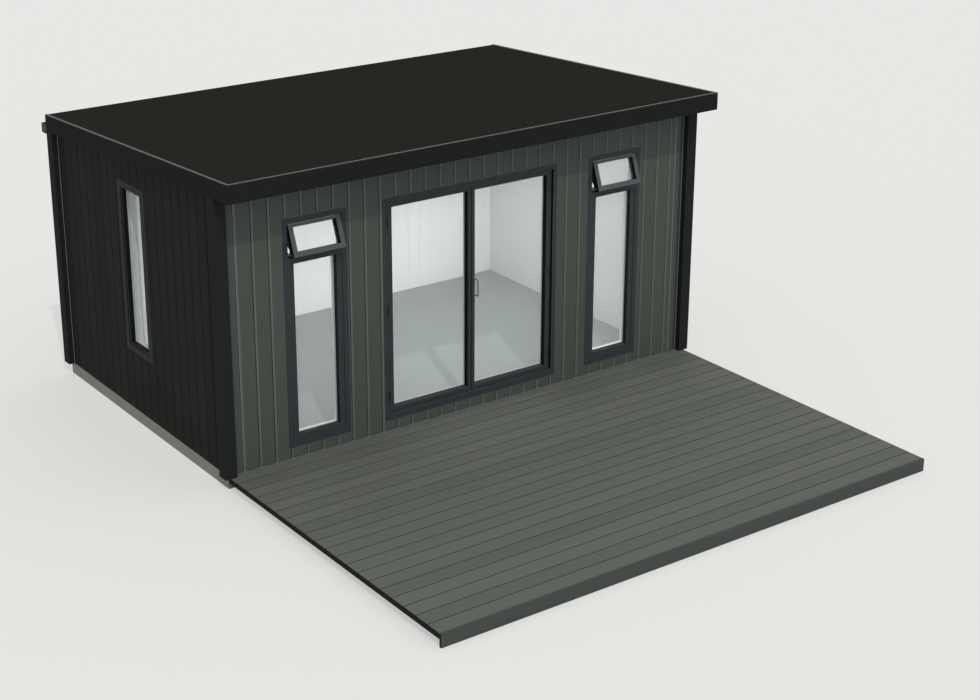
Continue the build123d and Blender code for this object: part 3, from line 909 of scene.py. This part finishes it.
for hand in ("left", "right"):
    double_glazing(f"window_{hand}_glass", FRONT, "building", glass)
for hand in ("left", "right"):
    double_glazing(f"door_glass_{hand}", FRONT, f"leaf_{hand}", glass)
double_glazing("window_side_glass", LEFT, "building", side_glass)

flashing = [(0, -4 * MM), (4 * MM, -4 * MM), (4 * MM, 1 * MM), (3 * MM, 2 * MM), (0, 2 * MM)]
flashing_metal = plain_paint("flashing_metal", (0.12, 0.13, 0.12), 0.38)
for index, hole in enumerate(front_holes):
    loop_round(f"flashing_front_{index}", FRONT, hole, flashing, front_face, flashing_metal)
side_flashing_metal = plain_paint("side_flashing_metal", (0.045, 0.048, 0.046), 0.38, shine=0.06)
loop_round("flashing_side", LEFT, side_hole, flashing, side_face, side_flashing_metal)

# %% [markdown]
# The cladding ends in a slim metal bead at each post. It could be a cylinder sunk in the wall, but only
# its nose would show. So it is a small half-round profile drawn straight up the wall to the underside
# of the roof, which is lower at the back.

# %% Corner beads
BEAD = 5 * MM


def corner_bead(name, side, u, face, top, material):
    """Upright bead at u: a half-round profile, standing out from a face by half its width."""
    a, b = half_round(BEAD, BEAD / 2, 7).T
    z = np.array([[wall_foot], [top]])
    return prism(name, side.points(u + BEAD / 2 + a[None, :], face + b[None, :], z), material)


bead_metal = plain_paint("bead_metal", (0.26, 0.27, 0.26), 0.35)
front_top, back_top = roof_level(-front_face), roof_level(back - post)
from_post = 6 * MM
for name, u in (("left", -inset + 92 * MM), ("right", inset - 98 * MM)):
    corner_bead(f"bead_front_{name}", FRONT, u, front_face, front_top, bead_metal)
beside_post = side_span[0] + from_post
for name, side, u in (("left", LEFT, beside_post), ("right", RIGHT, -beside_post)):
    corner_bead(f"bead_{name}", side, u, side_face, back_top, bead_metal)
print("corner beads: 4")

# %% [markdown]
# Each top-hung vent stands open on a pair of arms at its foot. Above them, four-bar hinges carry the
# sash: a track on the jamb, and two flat arms from it to the sash. A rubber strip closes the line over
# the sash's head. A flat arm could be a box, but its ends are round, so its outline is two half circles
# joined, and the bar runs between two places on x.

# %% Vent hinges and head seal
ARM_WIDTH = 23 * MM
SHORT_ARM_WIDTH = 40 * MM
ARM_THICKNESS = 2.5 * MM
HEAD_DEPTH = 50 * MM
TRACK_BEHIND = 46 * MM
hinge_metal = plain_paint("hinge_metal", (0.030, 0.031, 0.032), 0.4, metallic=0.3)


def slot_outline(start, end, width, count=7):
    """Slot from start to end in (y, z): half a circle of radius r = width / 2 round each end."""
    start, end = np.array(start), np.array(end)
    along = math.atan2(*(end - start)[::-1])
    turn = along + np.linspace(-math.pi / 2, math.pi / 2, count)
    half_circle = width / 2 * np.stack([np.cos(turn), np.sin(turn)], axis=1)
    return np.concatenate([end + half_circle, start - half_circle])


def bar_along_x(name, ends, outline, material):
    """Bar of one outline in (y, z) between two places on x."""
    points = np.zeros((2, len(outline), 3))
    points[..., 0] = np.array(ends)[:, None]
    points[..., 1:] = outline
    return prism(name, points, material)


def vent_place(which):
    """Corners of a vent, the front of its frame, and the underside of the frame's head."""
    vent, surround = f"window_{which}_vent", f"window_{which}_frame"
    return lowest(vent), highest(vent), lowest(surround)[1], highest(surround)[2] - HEAD_DEPTH


def vent_hinges(which):
    """Hinges at both sides of one vent. The long arm of each lies a little outside the other bars."""
    low, high, frame_front, head = vent_place(which)
    foot, track = low[2], frame_front + TRACK_BEHIND
    long_end, short_end = (frame_front - 8 * MM, foot + 90 * MM), (frame_front + 4 * MM, foot + 126 * MM)
    bars = {
        "track": ((track, head - 20 * MM), (track, foot + 36 * MM), ARM_WIDTH, 0),
        "arm": ((track, head - 60 * MM), long_end, ARM_WIDTH, 1.5 * MM),
        "short_arm": ((track, foot + 110 * MM), short_end, SHORT_ARM_WIDTH, 0)}
    for hand, away, edge in (("l", -1, low[0]), ("r", 1, high[0])):
        for bar, (start, end, width, aside) in bars.items():
            x = edge + away * (4 * MM + aside)
            bar_along_x(f"vent_{which}_{bar}_{hand}", (x - ARM_THICKNESS / 2, x + ARM_THICKNESS / 2),
                        slot_outline(start, end, width), hinge_metal)
    print("vent hinges under", round(head, 3))


def head_seal(which):
    """Rubber strip over the sash's head, from jamb to jamb in the gap under the frame's head."""
    low, high, frame_front, head = vent_place(which)
    outline = np.array([(4, 0), (70, 0), (70, -9), (40, -9), (8, -5), (4, -3)]) * MM
    strip = bar_along_x(f"vent_{which}_head_seal", (low[0] - 10 * MM, high[0] + 10 * MM),
                        outline + (frame_front, head), seal_rubber)
    print(strip.name)


for which in ("left", "right"):
    vent_hinges(which)
for which in ("left", "right"):
    head_seal(which)

# %% [markdown]
# The floor under the building is only a stage: a pale plane that takes the shadow. A plane that only
# catches shadows would need a picture behind it. This one is plain, and wide enough to reach the
# backdrop's colour before its edge shows.

# %% Stage
GROUND = (0.758, 0.752, 0.733)
BACKDROP_SHARE = 0.58


def ground_finish():
    """Pale ground that takes shadows. To eyes and mirrors, a share of it is a flat backdrop colour,
    so its shadows stay soft; it sends no light of its own onto the building."""
    finish = Finish("pale_ground")
    finish.colour(GROUND)
    finish.gloss(0.9, shine=0.0)
    path = finish.add("ShaderNodeLightPath").outputs
    seen = finish.math("MAXIMUM", path["Is Camera Ray"], path["Is Glossy Ray"])
    seen = finish.math("MAXIMUM", seen, path["Is Transmission Ray"])
    flat = finish.add("ShaderNodeEmission")
    flat.inputs["Color"].default_value = (*BACKDROP, 1)
    mix = finish.add("ShaderNodeMixShader")
    finish.link(finish.math("MULTIPLY", seen, BACKDROP_SHARE), mix.inputs[0])
    finish.link(finish.shader.outputs[0], mix.inputs[1])
    finish.link(flat.outputs[0], mix.inputs[2])
    finish.link(mix.outputs[0], finish.tree.nodes["Material Output"].inputs["Surface"])
    return finish.material


reach = 150.0
stage_mesh = bpy.data.meshes.new("ground_plane")
stage_mesh.from_pydata(
    [(-reach, -reach, 0), (reach, -reach, 0), (reach, reach, 0), (-reach, reach, 0)], [], [(0, 1, 2, 3)])
stage_mesh.materials.append(ground_finish())
ground = bpy.data.objects.new("ground_plane", stage_mesh)
bpy.context.scene.collection.objects.link(ground)
print("stage:", ground.name)
